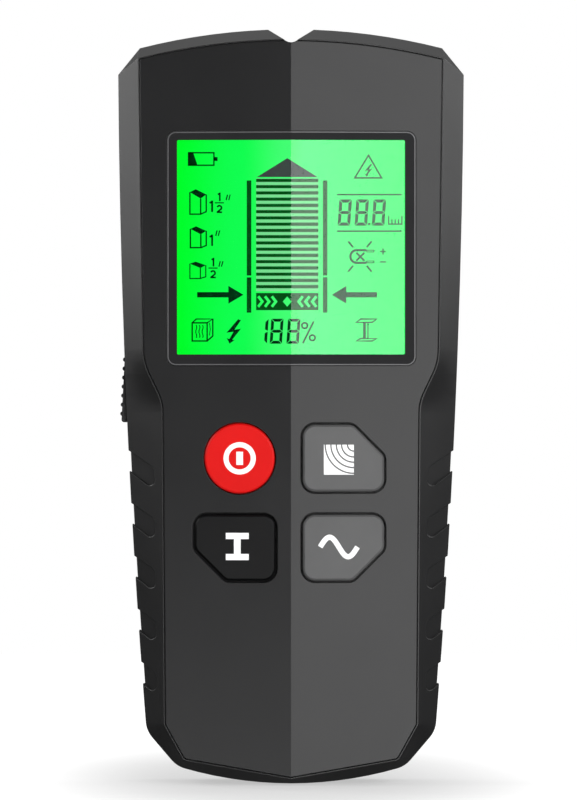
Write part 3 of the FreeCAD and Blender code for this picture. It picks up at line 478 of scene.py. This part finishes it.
def left_symbols():
    battery = stroke([(-22.6, 18.2), (-22.6, 20.95), (-17.0, 20.95), (-17.0, 18.2)], 0.3, True)
    battery += bar(-17.0, 19.15, -16.2, 20.0)
    battery += [[(-22.7, 18.1), (-20.6, 18.1), (-21.6, 21.05), (-22.7, 21.05)]]
    made = battery
    made += timber(-22.3, 7.4, -18.7, 12.9, True, 0.3)
    made += small_one(-17.4, 7.9, 2.5, 0.42) + half(-15.8, 9.9, 0.36)
    made += inch_mark(-14.3, 10.5, 1.2, 0.26)
    made += timber(-22.2, 0.0, -18.7, 4.7, True, 0.3)
    made += small_one(-17.4, 0.4, 2.5, 0.4) + inch_mark(-16.6, 2.6, 1.2, 0.26)
    made += timber(-22.3, -6.8, -18.8, -3.1, True, 0.24)
    made += half(-17.2, -4.5, 0.36) + inch_mark(-15.9, -4.2, 1.2, 0.26)
    made += arrow(-20.7, -13.8, -10.5, -10.4, 1.16, 3.9)
    block = [(-21.8, -20.6), (-21.8, -16.6), (-18.5, -16.6), (-18.5, -20.6)]
    made += stroke(block, 0.3, True)
    made += stroke([block[1], (-20.9, -15.75), (-17.25, -15.75), block[2]], 0.26)
    made += stroke([(-17.25, -15.75), (-17.25, -19.5), block[3]], 0.3)
    for x in (-20.9, -20.2, -19.5):
        grain = [(x + 0.12 * math.sin(i * 1.3), -17.1 - 0.4 * i) for i in range(8)]
        made += stroke(grain, 0.2)
    made += stroke([(-18.0, -16.6), (-17.8, -18.0), (-18.0, -19.4)], 0.16)
    return made + bolt_shape(-12.6, -18.5, 2.7)


def right_symbols():
    made = stroke([(14.07, 15.4), (17.1, 20.4), (19.99, 15.4)], 0.36, True)
    made += bolt_shape(17.1, 17.1, 1.4)
    made += bar(10.13, 11.55, 24.4, 11.89) + bar(10.13, 3.47, 24.4, 3.81)
    for x in (10.26, 14.01, 17.81):
        made += digit(x, 4.86, 2.78, 5.78, 0.7, 0.07)
    made += bar(17.0, 4.95, 17.5, 5.45)
    made += bar(21.4, 5.05, 24.6, 5.35)
    for i in range(5):
        tall = 1.2 if i % 4 else 1.95
        made += bar(21.4 + 0.73 * i, 5.1, 21.68 + 0.73 * i, 5.1 + tall)
    made += band(14.5, -1.95, 1.15, 1.65, 90, 270, 16)
    made += bar(14.5, -0.8, 16.6, -0.3) + bar(14.5, -3.6, 16.6, -3.1)
    made += stroke([(14.4, -1.1), (16.2, -2.9)], 0.42) + stroke([(14.4, -2.9), (16.2, -1.1)], 0.42)
    for z in (-0.75, -3.15):
        made += stroke([(16.7, z - 0.2), (18.3, z - 0.2), (18.3, z + 0.2), (16.7, z + 0.2)], 0.2,
                       True)
    for x, z, sx, sz in ((13.7, 0.1, -1, 1), (16.7, 0.1, 1, 1), (13.7, -4.0, -1, -1),
                         (16.7, -4.0, 1, -1)):
        made += stroke([(x, z), (x + sx * 1.1, z + sz * 1.3)], 0.4)
    made += bar(19.6, -1.0, 21.0, -0.7) + bar(20.15, -1.55, 20.45, -0.15)
    made += bar(19.6, -3.3, 21.0, -3.0)
    made += arrow(19.0, 12.2, 9.0, -10.4, 1.16, 3.9)
    for z, lift in ((-16.5, 0.75), (-20.6, 0.55)):
        made += stroke([(14.4, z), (17.9, z), (18.9, z + lift), (15.4, z + lift)], 0.34, True)
    made += bar(15.9, -20.0, 16.5, -16.6) + bar(16.85, -20.0, 17.1, -16.6)
    return made


def percent():
    made = digit(-7.6, -21.2, 2.3, 5.5, 0.64, 0.07, "bc")
    for x in (-4.7, -1.0):
        made += digit(x, -21.2, 2.7, 5.5, 0.64, 0.07)
    made += band(3.0, -17.2, 0.42, 0.8, steps=24) + band(4.7, -19.9, 0.42, 0.8, steps=24)
    return made + stroke([(2.6, -21.1), (5.0, -16.3)], 0.38)


def bezel_highlight_frame(reach, width):
    """Rounded frame along the bezel's outer edge, split on the ridge, for the painted highlight
    line.
    """
    x, z = (BEZEL_HIGH.x - BEZEL_LOW.x) / 2 - reach, (BEZEL_HIGH.z - BEZEL_LOW.z) / 2 - reach
    r = 1.9 - reach
    loop = []
    for cx, cz, start in ((x - r, z - r, 0), (r - x, z - r, 90), (r - x, r - z, 180),
                          (x - r, r - z, 270)):
        loop += ring_points(cx, cz, r, start, start + 90, 8)
        if start in (0, 180):
            loop.append((-BEZEL_X, cz + math.copysign(r, cz)))
    return stroke(loop, width, True)


def make_display():
    """Lit area with its symbols, and the thin bright line round the bezel, a painted highlight."""
    def add(name, shape, lift, material):
        flat_piece(name, moved(shape, LIT_X, LIT_Z), at_level(lift), "housing",
                   material)

    w, h = LIT_WIDTH / 2, LIT_HEIGHT / 2
    add("display_lit_area", bar(-w, -h, w, h), 0.0, BACKLIT_AND_REFLECTION)
    add("display_symbols", left_symbols() + right_symbols() + percent(), SEGMENT_LIFT, SYMBOL_AND_REFLECTION)
    add("gauge_backing", bar(-7.68, -9.6, 6.03, 15.3), BACKING_LIFT, PALE_LIT_AND_REFLECTION)
    point = [[(-7.53, 15.58), (5.86, 15.58), (-0.79, 19.76)]]
    add("gauge_point", point, SEGMENT_LIFT, GREY_LIT)
    add("display_gauge", gauge(), SEGMENT_LIFT, BAR_AND_REFLECTION)
    add("display_box_marks", box_marks(), MARK_LIFT, BACKLIT_AND_REFLECTION)
    # Painted highlight along the bezel's outer edge.
    line = moved(bezel_highlight_frame(0.16, 0.28), BEZEL_X, BEZEL_Z)
    flat_piece("bezel_edge_line", line, on_facets(BEZEL_RISE + PRINT_LIFT), "housing",
               PAINTED_RIM_HIGHLIGHT, 0.04)


# ---------------------------------------------------------------- prints on the keys

def key_centre(node):
    low, high = box_mm(node)
    return (low.x + high.x) / 2, (low.z + high.z) / 2


def wood_icon():
    """Square of end grain: rings about its upper right corner."""
    w, h = 3.3, 3.3
    made = []
    edges = [0.0, 1.4, 2.7, 3.85, 5.05, 6.3]
    gap = 0.15
    for inner, outer in zip(edges, edges[1:]):
        made += band(w, h, inner + gap if inner else 0.001, outer - gap, 180, 270, 24)
    corner = ring_points(w, h, edges[-1] + gap, 270, 180, 24)
    made.append([(-w, h), (-w, -h), (w, -h)] + corner)
    return made


def beam_icon():
    w, h, flange, web = 2.53, 3.0, 1.37, 0.75
    return [[(-w, -h), (w, -h), (w, -h + flange), (web, -h + flange), (web, h - flange),
             (w, h - flange), (w, h), (-w, h), (-w, h - flange), (-web, h - flange),
             (-web, -h + flange), (-w, -h + flange)]]


def wave_icon():
    """One period of a sine, for live wires."""
    points = [(-4.1 + 8.2 * i / 40, 2.15 * math.sin(2 * math.pi * i / 40)) for i in range(41)]
    return stroke(points, 1.15)


def power_icon():
    return band(0, 0, 2.43, 3.56) + bar(-0.74, -1.45, 0.74, 1.45)


def make_key_prints():
    prints = (("power", power_icon(), 0.0, 0.0), ("wood", wood_icon(), -1.0, -0.35),
              ("metal", beam_icon(), 0.5, 0.25), ("wire", wave_icon(), -1.0, 0.15))
    for key, shape, dx, dz in prints:
        x, z = key_centre(key + "_button")
        flat_piece(key + "_print", moved(shape, x + dx, z + dz),
                   on_facets(KEY_RISE + PRINT_LIFT), key + "_key", WHITE_PRINT, 0.05)


# ---------------------------------------------------------------- studio

FLOOR_RADIUS = 0.7
PAINTED_SHADOW_NARROW = 2.5                   # the painted shadow patch is this many times deeper than it is wide
PAINTED_SHADOW_NEAR, PAINTED_SHADOW_FAR = 0.05, 0.21   # metres from the middle where the painted shadow starts and ends to fade
GLOW_LOW, GLOW_HIGH = 0.5, 1.0       # light that the floor gives off inside and outside the painted shadow


def make_floor():
    """Round pale floor that gives off light, less of it in a soft oval by the tool: a painted
    shadow, added to the shadow that the lamps cast.
    """
    mesh = bpy.data.meshes.new("floor")
    build = bmesh.new()
    level = cad_box[0][2]
    rim = [build.verts.new((FLOOR_RADIUS * math.cos(a), FLOOR_RADIUS * math.sin(a), level))
           for a in (2 * math.pi * i / 96 for i in range(96))]
    build.faces.new(rim)
    build.to_mesh(mesh)
    build.free()
    material, node = new_material("floor_paper")
    place = node("ShaderNodeTexCoord").outputs["Object"]
    base = varied(node, place, (0.32, 0.32, 0.32), 6.0, 0.008)
    # Painted shadow: the glow dims in an oval round the tool's foot.
    flat = node("ShaderNodeVectorMath", {0: place, 1: (PAINTED_SHADOW_NARROW, 1.0, 0.0)},
                operation="MULTIPLY")
    away = node("ShaderNodeVectorMath", {0: flat.outputs["Vector"]}, operation="LENGTH")
    fade = {"Value": away.outputs["Value"], "From Min": PAINTED_SHADOW_NEAR, "From Max": PAINTED_SHADOW_FAR,
            "To Min": GLOW_LOW, "To Max": GLOW_HIGH}
    glow = node("ShaderNodeMapRange", fade, interpolation_type="SMOOTHSTEP").outputs["Result"]
    shade = node("ShaderNodeBsdfPrincipled", {
        "Base Color": base, "Roughness": 0.9, "Specular IOR Level": 0.1,
        "Emission Color": rgba((1.0, 1.0, 1.0)), "Emission Strength": glow})
    node("ShaderNodeOutputMaterial", {"Surface": shade.outputs["BSDF"]})
    mesh.materials.append(material)
    floor = bpy.data.objects.new("floor", mesh)
    bpy.context.collection.objects.link(floor)
    floor.visible_glossy = False


def area_light(name, place, target, width, height, power):
    """Softbox that the camera doesn't see."""
    data = bpy.data.lights.new(name, "AREA")
    data.shape = "RECTANGLE"
    data.size = width
    data.size_y = height
    data.energy = power
    lamp = bpy.data.objects.new(name, data)
    lamp.location = place
    aim = Vector(target) - Vector(place)
    lamp.rotation_euler = aim.to_track_quat("-Z", "Y").to_euler()
    lamp.visible_camera = False
    bpy.context.collection.objects.link(lamp)
    return lamp


# Brightness of the surroundings as (place, level). Place runs from 0, towards the camera, to 1, away
# from it, and in WORLD_HEIGHT from 0, straight down, to 1, straight up.
WORLD_DEPTH = ((0.0, 0.06), (0.25, 0.12), (0.5, 0.3), (0.72, 0.6), (1.0, 0.5))
WORLD_HEIGHT = ((0.0, 0.08), (0.45, 0.14), (0.62, 0.3), (0.76, 1.0), (1.0, 1.0))
WORLD_GAIN = 1.0


def make_world():
    """White to the camera; as a light it is dim in front and below, bright above and behind."""
    world = bpy.data.worlds.new("studio")
    bpy.context.scene.world = world
    world.use_nodes = True
    tree = world.node_tree
    tree.nodes.clear()
    place = tree.nodes.new("ShaderNodeTexCoord")
    split = tree.nodes.new("ShaderNodeSeparateXYZ")
    tree.links.new(place.outputs["Generated"], split.inputs[0])

    def ramp(socket, stops):
        made = tree.nodes.new("ShaderNodeValToRGB")
        shifted = tree.nodes.new("ShaderNodeMapRange")
        shifted.inputs["From Min"].default_value = -1.0
        tree.links.new(socket, shifted.inputs["Value"])
        tree.links.new(shifted.outputs["Result"], made.inputs["Fac"])
        while len(made.color_ramp.elements) < len(stops):
            made.color_ramp.elements.new(0.5)
        for element, (spot, level) in zip(made.color_ramp.elements, stops):
            element.position = spot
            element.color = (level, level, level, 1)
        return made.outputs["Color"]

    depth = ramp(split.outputs["Y"], WORLD_DEPTH)
    height = ramp(split.outputs["Z"], WORLD_HEIGHT)
    product = tree.nodes.new("ShaderNodeMix")
    product.data_type = "RGBA"
    product.blend_type = "MULTIPLY"
    product.inputs["Factor"].default_value = 1.0
    tree.links.new(depth, product.inputs[6])
    tree.links.new(height, product.inputs[7])
    lit = tree.nodes.new("ShaderNodeBackground")
    lit.inputs["Strength"].default_value = WORLD_GAIN
    tree.links.new(product.outputs[2], lit.inputs["Color"])
    shown = tree.nodes.new("ShaderNodeBackground")
    shown.inputs["Color"].default_value = (1.0, 1.0, 1.0, 1)
    path = tree.nodes.new("ShaderNodeLightPath")
    pick = tree.nodes.new("ShaderNodeMixShader")
    tree.links.new(path.outputs["Is Camera Ray"], pick.inputs[0])
    tree.links.new(lit.outputs[0], pick.inputs[1])
    tree.links.new(shown.outputs[0], pick.inputs[2])
    out = tree.nodes.new("ShaderNodeOutputWorld")
    tree.links.new(pick.outputs[0], out.inputs["Surface"])


def make_lights():
    area_light("key_softbox", (0.526, -1.079, 0.1), (0, 0, 0.02), 1.07, 1.4, 21)
    area_light("fill_softbox", (-0.35, -1.0, -0.45), (0, 0, 0), 0.7, 0.5, 7)
    area_light("left_strip", (-0.24, 0.11, 0.13), (-0.03, 0, 0.06), 0.08, 0.2, 0.24)
    area_light("right_strip", (0.24, 0.11, 0.13), (0.03, 0, 0.06), 0.08, 0.2, 0.18)
    area_light("left_edge_lamp", (-0.3, -0.05, 0.12), (-0.03, 0, 0), 0.1, 0.2, 0.22)
    area_light("right_edge_lamp", (0.3, -0.05, 0.12), (0.03, 0, 0), 0.1, 0.2, 0.15)


def make_camera():
    """Long lens straight in front, framed as wide as 127 mm and as tall as 176 mm."""
    away, frame_height, sensor = 1400.0, 176.1, 36.0
    data = bpy.data.cameras.new("camera")
    data.sensor_width = sensor
    data.lens = sensor * away / frame_height
    data.clip_start = 0.05
    data.clip_end = 50
    camera = bpy.data.objects.new("camera", data)
    camera.location = Vector((-0.55, -(away + 26.5), 1.43)) * MM
    camera.rotation_euler = (math.radians(90), 0, 0)
    bpy.context.collection.objects.link(camera)
    bpy.context.scene.camera = camera


dress_cad_nodes()
make_display()
make_key_prints()
make_floor()
make_world()
make_lights()
make_camera()
bpy.context.scene.view_settings.view_transform = "Standard"
